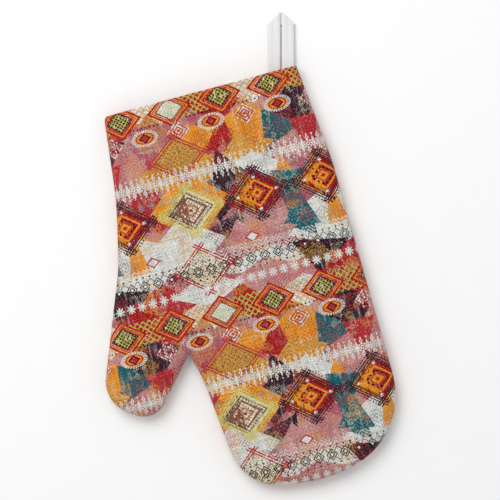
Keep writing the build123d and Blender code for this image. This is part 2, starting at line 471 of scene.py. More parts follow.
def make(name, points, faces, cloth=None):
    """A smooth mesh object from points in metres, with the cloth's flat coordinates in mm."""
    mesh = bpy.data.meshes.new(name)
    mesh.from_pydata(np.asarray(points).tolist(), [], [list(f) for f in faces])
    mesh.validate()
    mesh.update()
    if cloth is not None:
        layer = mesh.attributes.new("cloth", "FLOAT_VECTOR", "POINT")
        flat = np.column_stack([cloth, np.zeros(len(cloth))])
        layer.data.foreach_set("vector", flat.astype(np.float32).ravel())
    mesh.polygons.foreach_set("use_smooth", [True] * len(mesh.polygons))
    piece = bpy.data.objects.new(name, mesh)
    bpy.context.scene.collection.objects.link(piece)
    return piece


def thicken(piece, thickness, offset):
    """Gives a surface its real thickness."""
    solid = piece.modifiers.new("thickness", "SOLIDIFY")
    solid.thickness = thickness * MM
    solid.offset = offset
    solid.use_even_offset = False
    graph = bpy.context.evaluated_depsgraph_get()
    mesh = bpy.data.meshes.new_from_object(piece.evaluated_get(graph))
    thin = piece.data
    piece.modifiers.clear()
    piece.data = mesh
    bpy.data.meshes.remove(thin)


def tidy_normals(piece):
    """Turns every face of a closed mesh outwards."""
    mesh = bmesh.new()
    mesh.from_mesh(piece.data)
    bmesh.ops.recalc_face_normals(mesh, faces=mesh.faces)
    mesh.to_mesh(piece.data)
    mesh.free()


# --- canvas: outer surface, the turn over the cuff edge, and the seam allowance ---
SEAM_TURN = [(0.25, 0.62), (0.75, 0.28), (1.6, 0.12)]  # (distance in, height from the seam)
SEAM_ALLOWANCE = 0.8
EDGE_ON_CLOTH = 1.1  # how far past depth 0 the cuff edge is on the flat cloth
PRINT_AT = {True: (187.0, 0.0), False: (95.0, 104.0)}  # the print's place on each half


def flat_canvas(front):
    """The plan's points on a half's canvas before it is sewn, laid flat."""
    s = np.minimum(plan.distance, RIM)
    over = rim_length(s, front) - (RIM - s)
    flat = plan.points - plan.inward * over[:, None]
    flat[:, 1] -= (LIP - np.clip(plan.depth, 0, LIP)) * (LIP_STRETCH - 1)
    return flat


def seam_strips(add, flat):
    """Points of the canvas turned in along the side seam, in lines from the side edge."""
    for line in plan.side:
        start = line[0]
        inward, strip = plan.inward[start], [start]
        for inset, height in SEAM_TURN:
            inset = min(inset, plan.depth[start])
            on_cloth = flat[start] - inward * (inset + SEAM_ALLOWANCE)
            strip.append(add(plan.points[start] + inward * inset, height, on_cloth, start))
        yield strip[::-1]


def hem_strips(add, front):
    """Points of the canvas turned inside the mouth, in lines from the cuff edge."""
    middle, half = plies(plan.distance, front)
    for column in zip(*[plan.row(k) for k in range(HEM_ROWS)]):
        start = column[0]
        strip = [start]
        for at, depth in zip(column[1:], ROWS[1:]):
            share = min(1.0, plan.distance[start] / depth)
            depth *= share
            place = plan.points[start] + (plan.points[at] - plan.points[start]) * share
            height = middle[start] - half[start] * ease(depth, LIP) - 0.02
            far = EDGE_ON_CLOTH + LIP_STRETCH * min(depth, LIP) + max(depth - LIP, 0)
            strip.append(add(place, height, (plan.points[start][0], -far), start))
        yield strip


def canvas_of(front):
    """One half's canvas, with the print's coordinates on the flat cloth."""
    points = list(np.column_stack([plan.points, SEAM + SIGN[front] * canvas_rise(plan, front)]))
    flat = list(flat_canvas(front))
    moved_with = list(range(len(points)))

    def add(place, height, on_cloth, start):
        points.append(np.array([*place, SEAM + SIGN[front] * height]))
        flat.append(np.array(on_cloth))
        moved_with.append(start)
        return len(points) - 1

    faces = plan.faces + quads(list(seam_strips(add, flat))) + quads(list(hem_strips(add, front)))
    points = np.array(points) + shift[front][moved_with]
    points[:, 2] = np.maximum(points[:, 2], FLOOR_GAP)
    flat = np.array(flat) * [-1, 1] + PRINT_AT[front]
    faces = faces if front else [f[::-1] for f in faces]
    return make("canvas_" + NAME[front], at_row(points), faces, flat)


# --- wadding and lining: closed slabs between two surfaces of the same plan ---
QUILT_PITCH = 36.0
QUILT_MIDDLE = (CUFF_WIDTH / 2, 165.0)
QUILT_EDGE = 11.0  # the rows stop this far from the side edge and the cuff
QUILT_DEPTH = 0.65
QUILT_WIDTH = 3.2  # how far from a row the lining is drawn in
TUCK = 0.75  # how much more the lining is drawn in along the cuff
CLEAR = 0.1  # least space between plies
WADDING_TOP = 0.25  # space between the canvas and the wadding


def slab(name, keep, low, high):
    """A closed solid between two surfaces, over the plan's faces whose points are all kept."""
    faces = [f for f in plan.faces if all(keep[i] for i in f)]
    used = sorted({i for f in faces for i in f})
    lower = {old: new for new, old in enumerate(used)}
    upper = {old: new + len(used) for new, old in enumerate(used)}
    edges = {(a, b) for f in faces for a, b in zip(f, f[1:] + f[:1])}
    walls = [(lower[a], lower[b], upper[b], upper[a]) for a, b in edges if (b, a) not in edges]
    top = [tuple(upper[i] for i in f) for f in faces]
    bottom = [tuple(lower[i] for i in f[::-1]) for f in faces]
    points = np.concatenate([low[used], high[used]])
    flat = np.concatenate([plan.points[used]] * 2)
    piece = make(name, at_row(points), top + bottom + walls, flat)
    tidy_normals(piece)
    return piece


def quilt_dip(points):
    """How deep the lining is drawn in near its quilting, from 0 to 1."""
    x, y = (points - QUILT_MIDDLE).T
    dip = np.zeros(len(points))
    for way in (-1, 1):
        along = (x + way * y) / math.sqrt(2)
        off = (along + QUILT_PITCH / 2) % QUILT_PITCH - QUILT_PITCH / 2
        dip = np.maximum(dip, np.exp(-((off / QUILT_WIDTH) ** 2)))
    return dip * np.clip((side_distance(points) - QUILT_EDGE) / 3, 0, 1)


def lining_rise():
    """Height from the seam of the lining's face on the hand's side."""
    dips = quilt_dip(plan.points) * np.clip(plan.depth / 12, 0, 1)
    tuck = TUCK * np.clip((ROWS[-1] - plan.depth) / 3.4, 0, 1)
    return inner_rise(plan.distance) + QUILT_DEPTH * dips + np.minimum(tuck, plan.distance / 8)


LINING_FACE = lining_rise()
UNDER_LINING = plan.distance > PLY - CLEAR


def surface(front, rise):
    """Plan points at a height from the seam, on one half, with the cloth's shift."""
    spots = np.column_stack([plan.points, SEAM + SIGN[front] * rise]) + shift[front]
    spots[:, 2] = np.maximum(spots[:, 2], FLOOR_GAP + CANVAS + CLEAR)
    return spots


def lining_of(front):
    """One half's lining, drawn in at its quilting."""
    keep = UNDER_LINING & (plan.depth > LIP - CLEAR)
    low, high = surface(front, LINING_FACE), surface(front, LINING_FACE + LINING)
    return slab(NAME[front] + "_lining", keep, low, high)


def wadding_of(front):
    """One half's wadding, between its canvas and its lining."""
    middle, half = plies(plan.distance, front)
    half = half * ease(plan.depth, LIP)
    outer = middle + half - CANVAS - WADDING_TOP
    least = np.where(UNDER_LINING, LINING_FACE + LINING + CLEAR, 0.4)
    inner = np.minimum(np.maximum(middle - half + 0.9, least), outer - CLEAR)
    keep = (plan.distance > 1.0) & (plan.depth > 1.1)
    return slab(NAME[front] + "_wadding", keep, surface(front, inner), surface(front, outer))


canvas = {front: canvas_of(front) for front in BOTH}
lining, wadding = {}, {}
for front in BOTH:
    lining[front] = lining_of(front)
    wadding[front] = wadding_of(front)
for piece in canvas.values():
    thicken(piece, CANVAS, -1.0)


# --- stitches: short rounded bars of thread ---
BAR_SIDES = 6
BAR_STATIONS = [(0.0, 0.35), (0.12, 0.85), (0.5, 1.0), (0.88, 0.85), (1.0, 0.35)]  # (place, size)
BAR_SINK = 0.35  # how far a bar's ends sink in, as a share of its radius
BAR_FLAT = 0.8  # a bar's height, as a share of its width
QUILT_THREAD, CUFF_THREAD, TACK_THREAD, SEAM_THREAD = 0.28, 0.26, 0.25, 0.2  # radii
STITCH_EVERY = 4.3  # in a row of quilting
HALF_STITCH = 1.55
CUFF_STITCH_EVERY = 3.6
CUFF_STITCH = 2.7
CUFF_ROW = 3.7  # depth of the row along the cuff
CUFF_ROW_START = 16.0  # distance of that row's ends from the cuff's corners
SLANT = 0.7  # of a seam's stitches, along the seam


def bars(name, ends, radius):
    """One mesh of thread bars: each has two end points, in mm, and the way that is up."""
    points, faces = [], []
    turns = np.arange(BAR_SIDES) * 2 * math.pi / BAR_SIDES
    for a, b, up in ends:
        a, b = np.array(a), np.array(b)
        along = (b - a) / np.linalg.norm(b - a)
        across = np.cross(along, up)
        across /= np.linalg.norm(across)
        up = np.cross(across, along)
        rings = []
        for t, size in BAR_STATIONS:
            rings.append([len(points) + k for k in range(BAR_SIDES)])
            centre = a + (b - a) * t - up * radius * BAR_SINK * (abs(t - 0.5) * 2) ** 2
            for turn in turns:
                way = across * math.cos(turn) + up * BAR_FLAT * math.sin(turn)
                points.append(centre + size * radius * way)
        faces += quads([ring + ring[:1] for ring in rings])
        faces += [rings[0], rings[-1][::-1]]
    piece = make(name, np.array(points) * MM, faces)
    tidy_normals(piece)
    return piece


def row_point(x, y, z):
    """A plan point with a height as a point of the row's frame, in mm."""
    return (x + PLACE[0], PLACE[1] - y, z)


def lookup(front, rise):
    """A function that gives the row's point, in mm, where a surface is over a plan point."""
    spots = surface(front, rise)
    tree = KDTree(len(spots))
    for k, spot in enumerate(spots):
        tree.insert((spot[0], spot[1], 0), k)
    tree.balance()

    def on_surface(place):
        near = tree.find_n((*place, 0), 3)
        weight = [1 / (n[2] + 0.05) ** 2 for n in near]
        height = sum(spots[n[1]][2] * w for n, w in zip(near, weight)) / sum(weight)
        return row_point(*place, height)

    return on_surface


def quilting_of(front):
    """Rows of stitches both ways across one half, through its lining and wadding."""
    on_surface = lookup(front, LINING_FACE - 0.12)
    ends = []
    for way in (-1, 1):
        along = np.array([way, -1]) / math.sqrt(2)
        aside = np.array([1, way]) / math.sqrt(2)
        spots = np.array(
            [
                QUILT_MIDDLE + aside * k * QUILT_PITCH + along * m * STITCH_EVERY
                for k in range(-8, 9)
                for m in range(-64, 65)
            ]
        )
        far = side_distance(spots)
        for spot in spots[inside(spots, EDGE) & (far > QUILT_EDGE) & (spots[:, 1] > QUILT_EDGE)]:
            a, b = spot - along * HALF_STITCH, spot + along * HALF_STITCH
            ends.append((on_surface(a), on_surface(b), (0, 0, -SIGN[front])))
    return bars(NAME[front] + "_quilting", ends, QUILT_THREAD)


def cuff_stitches_of(front):
    """A row of stitches that holds one half's lining along the cuff."""
    on_surface = lookup(front, inner_rise(plan.distance) - 0.14)
    ends = []
    for x in np.arange(CUFF_ROW_START, CUFF_WIDTH - CUFF_ROW_START, CUFF_STITCH_EVERY):
        a, b = on_surface((x, CUFF_ROW)), on_surface((x + CUFF_STITCH, CUFF_ROW))
        ends.append((a, b, (0, 0, -SIGN[front])))
    return bars(NAME[front] + "_cuff_stitches", ends, CUFF_THREAD)


def seam_stitches(name, inset, pitch, reach):
    """Stitches across a seam between the two halves, all along the side edge."""
    ends = []
    for k in range(24, len(EDGE) - 24, int(pitch / EDGE_STEP)):
        along = EDGE[k + 4] - EDGE[k - 4]
        along /= np.linalg.norm(along)
        inward = np.array([along[1], -along[0]])
        at = EDGE[k] + inward * inset
        a, b = at - along * SLANT / 2, at + along * SLANT / 2
        up = (-inward[0], inward[1], 0)
        ends.append((row_point(*a, SEAM - reach), row_point(*b, SEAM + reach), up))
    return bars(name, ends, SEAM_THREAD)


quilting, cuff_stitches = {}, {}
for front in BOTH:
    quilting[front] = quilting_of(front)
    cuff_stitches[front] = cuff_stitches_of(front)
side_thread = seam_stitches("side_seam_stitches", 0.55, 3.0, 0.5)
lining_thread = seam_stitches("lining_seam_stitches", PLY + 0.25, 3.4, 0.45)


# --- hanging loop: one tape, folded over at both mitres, with its ends sewn in ---
TAPE = 10.2  # width
TAPE_THICK = 0.85
TAPE_POINTS = 9  # across
TAPE_LIFT = 0.5  # the folded head's two layers lie this far over and under its middle
LEG_GAP = 1.2
SHOULDER = 36.0  # length of a leg's outer edge, from the cuff to the mitre
LEAN = math.radians(15.1)
DROOP = math.radians(2.75)
FOLD = (149.7136, -0.8, 3.85)  # plan point and height where the loop leaves the cuff
SEWN = 13.5  # length of a leg inside the mitt
TACKS = 9  # to each leg
TACK_EVERY = 0.95
TACK_PLACES = (-7.0, -5.4)  # along the leg, of a tack's two ends
TACK_LEAN = 0.45


def tape_row(x, y, lift):
    """One row of points across the tape."""
    return np.column_stack(np.broadcast_arrays(x, y, lift))


def tape_path():
    """Rows of points across the tape, from the end of one leg over the head to the other's."""
    steps = np.linspace(0, 1, TAPE_POINTS)
    x = TAPE * steps - (TAPE + LEG_GAP / 2)
    top = SHOULDER + TAPE * steps
    rows = [tape_row(x, -SEWN + (top + SEWN) * t, TAPE_LIFT) for t in np.linspace(0, 1, 58)]
    away = np.array([-1, 1]) / math.sqrt(2)
    for turn in np.linspace(0, math.pi, 7)[1:-1]:
        out = away * TAPE_LIFT * math.sin(turn)
        rows.append(tape_row(x + out[0], top + out[1], TAPE_LIFT * math.cos(turn)))
    rows += [tape_row(x * (1 - t), top, -TAPE_LIFT) for t in np.linspace(0, 1, 8)]
    return rows + [row * [-1, 1, 1] for row in rows[-2::-1]]


def tape_place(row):
    """The tape's own points, placed on the plan and let down onto the floor."""
    across, along, lift = np.array(row).T
    x = FOLD[0] + across * math.cos(LEAN) + along * math.sin(LEAN)
    out = -FOLD[1] - across * math.sin(LEAN) + along * math.cos(LEAN)
    bow = 0.125 * np.sin(along / 9.0 + across / 6.0) * np.clip(along / 20, 0, 1)
    z = FOLD[2] - math.tan(DROOP) * np.maximum(out, 0) + lift + bow - TAPE_LIFT
    return np.column_stack([x, -out, np.maximum(z, TAPE_THICK / 2 + 0.08)])


def loop_tape():
    """The whole tape, with its flat coordinates across and along it."""
    rows = [tape_place(row) for row in tape_path()]
    strides = [np.median(np.linalg.norm(two - one, axis=1)) for one, two in zip(rows, rows[1:])]
    along = np.concatenate([[0], np.cumsum(strides)])
    flat = [(across, far) for far in along for across in np.linspace(0, TAPE, TAPE_POINTS)]
    numbers = np.arange(len(flat)).reshape(-1, TAPE_POINTS)
    piece = make("loop_tape", at_row(np.concatenate(rows)), quads(numbers.tolist()), flat)
    thicken(piece, TAPE_THICK, 0.0)
    tidy_normals(piece)
    return piece


def loop_tacks():
    """A short bar tack across each leg, inside the mitt."""
    ends = []
    for leg in (-1, 1):
        for k in range(TACKS):
            x = leg * (TAPE + LEG_GAP) / 2 + (k - TACKS // 2) * TACK_EVERY
            near, far = TACK_PLACES
            a, b = tape_place([(x, near, 1.0), (x + TACK_LEAN, far, 1.0)])
            ends.append((row_point(*a), row_point(*b), (0, 0, 1)))
    return bars("loop_tack_stitches", ends, TACK_THREAD)


tape = loop_tape()
tacks = loop_tacks()


# --- materials: a small way to write shader arithmetic ---
def linear(red, green, blue):
    """A screen colour from 0 to 255 as the shader's linear colour."""
    levels = [c / 255 for c in (red, green, blue)]
    return (*[((c + 0.055) / 1.055) ** 2.4 if c > 0.04045 else c / 12.92 for c in levels], 1)


def connect(item, socket):
    """Links a value to a socket, or sets a number, colour or vector on it."""
    if isinstance(item, Value):
        item.tree.links.new(item.socket, socket)
    else:
        socket.default_value = item


def new_value(tree, kind, inputs, output=0, **settings):
    """An output of a new node, with its settings made and its inputs connected."""
    node = tree.nodes.new("ShaderNode" + kind)
    for name, setting in settings.items():
        setattr(node, name, setting)
    for name, item in inputs.items():
        connect(item, node.inputs[name])
    return Value(tree, node.outputs[output])


class Value:
    """One output of a material's node; arithmetic on it adds nodes."""

    def __init__(self, tree, socket):
        self.tree, self.socket = tree, socket

    def math(self, operation, *others):
        inputs = dict(enumerate((self, *others)))
        return new_value(self.tree, "Math", inputs, operation=operation)

    def vector(self, operation, *others):
        inputs = dict(enumerate((self, *others)))
        output = "Value" if operation == "DOT_PRODUCT" else "Vector"
        return new_value(self.tree, "VectorMath", inputs, output, operation=operation)

    def __add__(self, other):
        return self.math("ADD", other)

    def __sub__(self, other):
        return self.math("SUBTRACT", other)

    def __mul__(self, other):
        return self.math("MULTIPLY", other)

    def __truediv__(self, number):
        return self.math("MULTIPLY", 1 / number)

    def __abs__(self):
        return self.math("ABSOLUTE")

    def below(self, other):
        return self.math("LESS_THAN", other)

    def above(self, other):
        return self.math("GREATER_THAN", other)

    def near(self, other, within):
        return self.math("COMPARE", other, within)

    def wrap(self, half):
        return self.math("WRAP", half, -half)

    def most(self, other):
        return self.math("MAXIMUM", other)

    def inverse(self):
        return self.math("MULTIPLY_ADD", -1.0, 1.0)

    def spread(self, low, high, start=0.0, end=1.0):
        """This value from low to high, stretched to start to end and kept within them."""
        return new_value(self.tree, "MapRange", dict(enumerate((self, low, high, start, end))))

    def mix(self, under, over):
        """One number, or another where this value is 1."""
        return new_value(self.tree, "Mix", {0: self, 2: under, 3: over})

    def paint(self, under, over):
        """One colour, or another where this value is 1."""
        return new_value(self.tree, "Mix", {0: self, 6: under, 7: over}, 2, data_type="RGBA")

    def scaled(self, factor):
        """This colour made darker or lighter by a factor."""
        inputs = {0: self, "Scale": factor}
        return new_value(self.tree, "VectorMath", inputs, operation="SCALE")

    def parts(self):
        """The first two parts of this vector."""
        first = new_value(self.tree, "SeparateXYZ", {0: self})
        return first, Value(self.tree, first.socket.node.outputs[1])

    def noise(self, scale, detail=2.0, rough=0.5, stretch=None, output=0):
        """Noise over this place: scale is in features for each unit of the place."""
        place = self.vector("MULTIPLY", stretch) if stretch else self
        inputs = {"Vector": place, "Scale": scale, "Detail": detail, "Roughness": rough}
        return new_value(self.tree, "TexNoise", inputs, output)


class Finish:
    """A material with its shader; its settings are given by the names of the shader's inputs."""

    def __init__(self, name):
        self.material = bpy.data.materials.new(name)
        self.material.use_nodes = True
        self.tree = self.material.node_tree
        self.shader = self.tree.nodes["Principled BSDF"]

    def on_cloth(self):
        """The flat cloth's coordinates, in mm."""
        return new_value(self.tree, "Attribute", {}, "Vector", attribute_name="cloth")

    def on_object(self):
        """The object's own coordinates, in metres."""
        return new_value(self.tree, "TexCoord", {}, "Object")

    def tint(self, colour):
        """One even colour."""
        value = new_value(self.tree, "RGB", {})
        value.socket.default_value = colour
        return value

    def set(self, name, item):
        connect(item, self.shader.inputs[name])

    def bump(self, height, distance, strength):
        """Raises the surface by a height from 0 to 1, over a distance in mm."""
        inputs = {"Distance": distance * MM, "Strength": strength, "Height": height}
        self.set("Normal", new_value(self.tree, "Bump", inputs))


SLUB = 0.42  # how far the threads wander, in mm
ALONG_THREAD = 0.035  # features of a thread's tone for each mm of its length


def woven(place, pitch):
    """Height and thread-by-thread tone of a plain weave with uneven threads."""
    moved = place.noise(0.16, output=1).vector("MULTIPLY_ADD", (SLUB, SLUB, 0), place)
    x, y = [part * (math.pi / pitch) for part in moved.parts()]
    warp, weft = abs(x.math("SINE")), abs(y.math("SINE"))
    over = (x.math("COSINE") * y.math("COSINE")).above(0.0)
    height = over.mix(warp, weft) * warp.most(weft)
    across_thread = 0.9 / pitch
    across = place.noise(1.0, 1.0, stretch=(across_thread, ALONG_THREAD, 1))
    down = place.noise(1.0, 1.0, stretch=(ALONG_THREAD, across_thread, 1))
    return height, over.mix(across, down)


# --- the print: an even patchwork of plain geometric motifs, in rows along the cuff ---
RED = linear(186, 22, 22)
ROSE = linear(198, 48, 56)
ORANGE = linear(250, 158, 36)
MUSTARD = linear(234, 170, 64)
PINK = linear(214, 146, 144)
MAUVE = linear(190, 106, 118)
TEAL = linear(10, 104, 114)
PLUM = linear(60, 20, 40)
BLACK = linear(20, 5, 10)
CHALK = linear(240, 241, 235)
CREAM = linear(250, 240, 204)
LIME = linear(212, 208, 92)
BROWN = linear(138, 88, 70)
GREY = linear(150, 165, 165)
SAGE = linear(120, 165, 165)
STRAW = linear(226, 214, 120)
TILE = (167.0, 171.0)  # the print repeats after this many mm

# (shape, centre x, centre depth, half width, half height, turn in degrees, colour)
PATCHES = [
    ("kite", 22, 10, 34, 22, 0, ROSE),
    ("kite", 96, 8, 30, 20, 0, RED),
    ("kite", 66, 6, 22, 15, 0, CHALK),
    ("kite", 148, 6, 26, 15, 0, CHALK),
    ("kite", 8, 42, 30, 24, 20, PINK),
    ("kite", 34, 30, 26, 17, -12, PLUM),
    ("kite", 76, 36, 30, 19, 8, ORANGE),
    ("dart", 104, 30, 26, 20, 200, RED),
    ("kite", 128, 40, 28, 20, -20, ORANGE),
    ("kite", 156, 30, 20, 24, 10, MAUVE),
    ("dart", 58, 50, 17, 17, 35, TEAL),
    ("kite", 28, 62, 36, 18, 6, PINK),
    ("dart", 30, 58, 13, 17, 0, ROSE),
    ("kite", 138, 60, 40, 24, 0, MUSTARD),
    ("kite", 84, 58, 26, 17, -10, MUSTARD),
    ("kite", 80, 72, 28, 14, 8, CHALK),
    ("dart", 104, 64, 18, 15, 170, PLUM),
    ("kite", 2, 84, 36, 20, -8, ROSE),
    ("dart", 57, 76, 10, 11, 180, ORANGE),
    ("kite", 112, 86, 17, 22, 15, PLUM),
    ("kite", 84, 92, 30, 22, 0, ROSE),
    ("kite", 138, 88, 34, 30, 0, ORANGE),
    ("dart", 22, 106, 20, 26, 180, ORANGE),
    ("dart", 57, 100, 15, 20, 12, TEAL),
    ("kite", 26, 126, 54, 26, 0, CHALK),
    ("dart", 24, 112, 9, 20, 180, ORANGE),
    ("kite", 88, 122, 34, 26, 0, PINK),
    ("dart", 56, 118, 17, 13, 70, TEAL),
    ("dart", 48, 130, 10, 9, -30, TEAL),
    ("dart", 116, 114, 15, 16, 100, PLUM),
    ("kite", 150, 120, 34, 24, 0, CHALK),
    ("kite", 104, 128, 16, 20, 0, PINK),
    ("kite", 84, 146, 60, 10, 0, CHALK),
    ("kite", 12, 160, 28, 16, 14, ROSE),
    ("dart", 46, 156, 24, 15, 12, PLUM),
    ("kite", 32, 166, 18, 14, -10, RED),
    ("kite", 92, 160, 40, 16, 0, PINK),
    ("dart", 116, 166, 14, 13, 165, RED),
    ("kite", 142, 158, 30, 14, 0, CHALK),
]


def diamond(u, v, wide, high):
    """Distance from a diamond's centre: 1 on its sides."""
    return abs(u) / wide + abs(v) / high


def hatch(u, v, pitch, width):
    """Crossed slanting lines."""
    one, two = (u + v).wrap(pitch / 2), (u - v).wrap(pitch / 2)
    return one.near(0.0, width).most(two.near(0.0, width))


def both_ways(a, b, pattern):
    """A pattern along one pair of a diamond's sides, and the same along the other pair."""
    return pattern(a, b).most(pattern(b, a))


def frame_lines(u, v, size, inner, outer, lines, over):
    """Parallel lines along a diamond's sides that run on past its corners."""
    wide, high = size
    pitch = (outer - inner) / lines

    def one_way(a, b):
        line = (a - inner).math("MODULO", pitch).below(pitch * 0.55)
        return a.above(inner) * a.below(outer) * line * b.below(over)

    return both_ways(abs(u / wide + v / high), abs(u / wide - v / high), one_way)


def star_of(u, v, arm, width):
    """A star with eight arms."""
    cross = both_ways(abs(u), abs(v), lambda a, b: a.below(width) * b.below(arm))
    slant = (abs(u) - abs(v)).near(0.0, width * 1.2) * abs(u).below(arm * 0.72)
    return cross.most(slant)


def radius_of(u, v):
    """Distance from u = v = 0."""
    return (u.math("POWER", 2.0) + v.math("POWER", 2.0)).math("SQRT")


class Print:
    """The print's colour, layer over layer, on a flat cloth."""

    def __init__(self, place):
        self.place = place
        rough_edge = place.noise(0.55, 3.0, 0.7, output=1)
        hand = rough_edge.vector("MULTIPLY_ADD", (1.5, 1.5, 0), place)
        self.hand = hand.vector("SUBTRACT", (0.75, 0.75, 0))
        self.x, self.y = self.hand.parts()
        self.dry = place.noise(1.0, 3.0, 0.65, stretch=(0.5, 0.16, 1))
        self.fine = place.noise(0.9, 2.0, 0.6)
        self.speckled = place.noise(0.62, 3.0, 0.75)
        self.kept = self.fine.above(0.40)
        self.colour = place.noise(0.03, 1.0).above(0.5).paint(PINK, MAUVE)

    def add(self, mask, tint):
        """Prints a colour where the mask is 1."""
        self.colour = mask.paint(self.colour, tint)

    def down(self, depth):
        """Depth from the middle of a row."""
        return (self.y - depth).wrap(TILE[1] / 2)

    def repeats(self, across, depth, count=1):
        """Place from the nearest of a row's motifs, with a count of them in the tile's width."""
        return (self.x - across).wrap(TILE[0] / count / 2), self.down(depth)

    def patches(self):
        """Plain patches under everything, with streaks of dry white."""
        for shape, across, depth, wide, high, turn, tint in PATCHES:
            centre = (across, depth, 0)
            low = (across - TILE[0] / 2, depth - TILE[1] / 2, -1)
            top = (across + TILE[0] / 2, depth + TILE[1] / 2, 1)
            near = self.hand.vector("WRAP", top, low)
            turned = {"Vector": near, "Center": centre, "Angle": math.radians(turn)}
            local = new_value(near.tree, "VectorRotate", turned, rotation_type="Z_AXIS")
            local = local.vector("SUBTRACT", centre)
            if shape == "kite":
                sides = local.vector("ABSOLUTE").vector("DOT_PRODUCT", (1 / wide, 1 / high, 0))
                self.add(sides.below(1.0), tint)
            else:
                u, v = local.parts()
                self.add((abs(u) / wide + v * (0.5 / high)).below(0.5) * v.above(-high), tint)
        streak = self.place.noise(1.0, 2.0, 0.6, stretch=(0.42, 0.05, 1))
        self.add(streak.spread(0.56, 0.72, 0.0, 0.34), CHALK)

    def scribble(self):
        """Pink and white zigzags and hatching behind the motifs."""
        x, y, fine = self.x, self.y, self.fine
        chevron = (y + abs(x.wrap(6.0))).wrap(1.9).near(0.0, 0.55)
        self.add(chevron * self.down(50).near(0.0, 11.0) * fine.above(0.47) * 0.75, ROSE)
        self.add(chevron * self.down(120).near(0.0, 13.0) * fine.above(0.55) * 0.6, CHALK)
        zone = self.place.noise(0.045, 1.0)
        lines = hatch(x, y, 3.1, 0.42)
        self.add(lines * zone.above(0.57) * fine.above(0.46) * 0.8, ROSE)
        d = diamond(x.wrap(3.6), y.wrap(3.1), 3.6, 3.1)
        nest = d.near(0.80, 0.11).most(d.near(0.36, 0.1))
        self.add(nest * zone.below(0.42) * fine.above(0.48) * 0.75, CREAM)
        zone = self.place.noise(0.05, 1.0, stretch=(1.0, -1.0, 1))
        self.add(zone.above(0.55) * lines * fine.above(0.55) * 0.7, PLUM)
        self.add(zone.below(0.43) * self.speckled.above(0.5) * 0.55, MUSTARD)

    def small_diamonds(self):
        """A row of small framed diamonds, with lattices between them."""
        lattice = hatch(self.x, self.y, 5.2, 0.62)
        for across, half, tint in ((30, 14.0, LIME), (71, 12.0, MUSTARD)):
            u, v = self.repeats(across, 7, 2)
            window = abs(u).below(half) * abs(v).below(9.5)
            self.add(window * lattice * self.kept, tint)
        u, v = self.repeats(9, 8, 4)
        d = diamond(u, v, 19.0, 15.0)
        self.add(d.near(0.84, 0.14), RED)
        self.add(d.near(0.80, 0.045) * self.kept, ORANGE)
        self.add(d.below(0.66), PLUM)
        self.add(d.near(0.62, 0.04), ROSE)
        star = hatch(u, v, 3.4, 0.5)
        self.add(star * d.below(0.52) * self.kept, LIME)
        self.add(d.below(0.52) * self.dry.above(0.60), CREAM)
        pale = self.repeats(134, 8)[0].near(0.0, 12.0) * d.below(0.56)
        self.add(pale * self.fine.above(0.36), CHALK)
        self.add(pale * star * self.fine.above(0.5), LIME)
        dots = self.x.wrap(1.7).near(0.0, 0.62) * (v - 9.5).near(0.0, 0.7)
        self.add(dots * abs(u).above(9.0), BLACK)

    def ovals(self):
        """A row of fringed ovals and small nested squares."""
        u, v = self.repeats(48, 26, 3)
        r = radius_of(u / 9.6, v / 5.6)
        fringe = r.near(1.0, 0.17) * u.math("ARCTAN2", v * 1.6).wrap(0.11).near(0.0, 0.066)
        self.add(fringe, CHALK)
        self.add(r.below(0.86), ORANGE)
        self.add(r.near(0.72, 0.06), RED)
        d = diamond(u, v, 5.5, 4.4)
        self.add(d.below(1.0), ROSE)
        self.add(d.near(0.72, 0.12), BLACK)
        d = diamond(*self.repeats(20, 27, 3), 9.6, 8.6)
        self.add(d.below(1.0) * self.dry.above(0.5), CHALK)
        self.add(d.math("MODULO", 0.34).below(0.15) * d.below(1.05), ROSE)

    def brown_diamonds(self):
        """An ochre diamond and a pale one, worn down to brown."""
        u, v = self.repeats(137, 48)
        d = diamond(u, v, 25.0, 19.0)
        self.add(d.below(0.95), MUSTARD)
        self.add(d.below(0.80) * self.fine.above(0.5), BROWN)
        self.add(hatch(u, v, 4.6, 0.4) * d.below(0.72) * self.kept, MUSTARD)
        self.add(frame_lines(u, v, (25.0, 19.0), 0.78, 1.04, 2, 1.2), ROSE)
        u, v = self.repeats(140, 141)
        d = diamond(u, v, 25.0, 20.0)
        self.add(d.below(0.95), CREAM)
        self.add(d.below(0.88) * self.fine.above(0.51), BROWN)
        self.add(hatch(u, v, 5.4, 0.45) * d.below(0.8) * self.dry.above(0.46), CREAM)
        self.add(frame_lines(u, v, (25.0, 20.0), 0.80, 1.05, 2, 1.22), ROSE)

    def flowers(self):
        """A band of small white flowers and spikes."""
        u, v = (self.x - 4.6).wrap(4.6), self.down(64)
        radius = radius_of(u, v)
        petals = radius.near(2.9, 0.75) * u.math("ARCTAN2", v).wrap(math.pi / 8).near(0.0, 0.25)
        flower = petals.most(radius.near(1.2, 0.5))
        spike = (abs(v) * 0.3 + abs(abs(u) - 4.6)).below(1.9) * self.kept
        ring = radius_of(u, abs(v) - 5.2).near(1.1, 0.42)
        small = self.x.wrap(2.3).near(0.0, 0.6) * abs(v).near(7.6, 0.7)
        white = flower.most(spike).most(small).most(ring)
        self.add(white * self.fine.above(0.36), CHALK)

    def large_diamonds(self):
        """Three large framed diamonds in each tile, one of them yellow."""
        wide, high = size = (23.5, 19.5)
        u, v = self.repeats(27, 92, 3)
        yellow = self.repeats(138.3, 92)[0].near(0.0, 27.8)
        red = yellow.inverse()
        d = diamond(u, v, wide, high)
        a, b = u / wide + v / high, u / wide - v / high

        def blocks(at, within, pitch, width, over):
            """A row of small blocks along all four sides."""
            def one_way(c, e):
                return abs(c).near(at, within) * e.wrap(pitch).near(0.0, width) * abs(e).below(over)

            return both_ways(a, b, one_way)

        def at_corners(at, within):
            """A square at each corner of an inner diamond."""
            return abs(a).near(at, within) * abs(b).near(at, within)

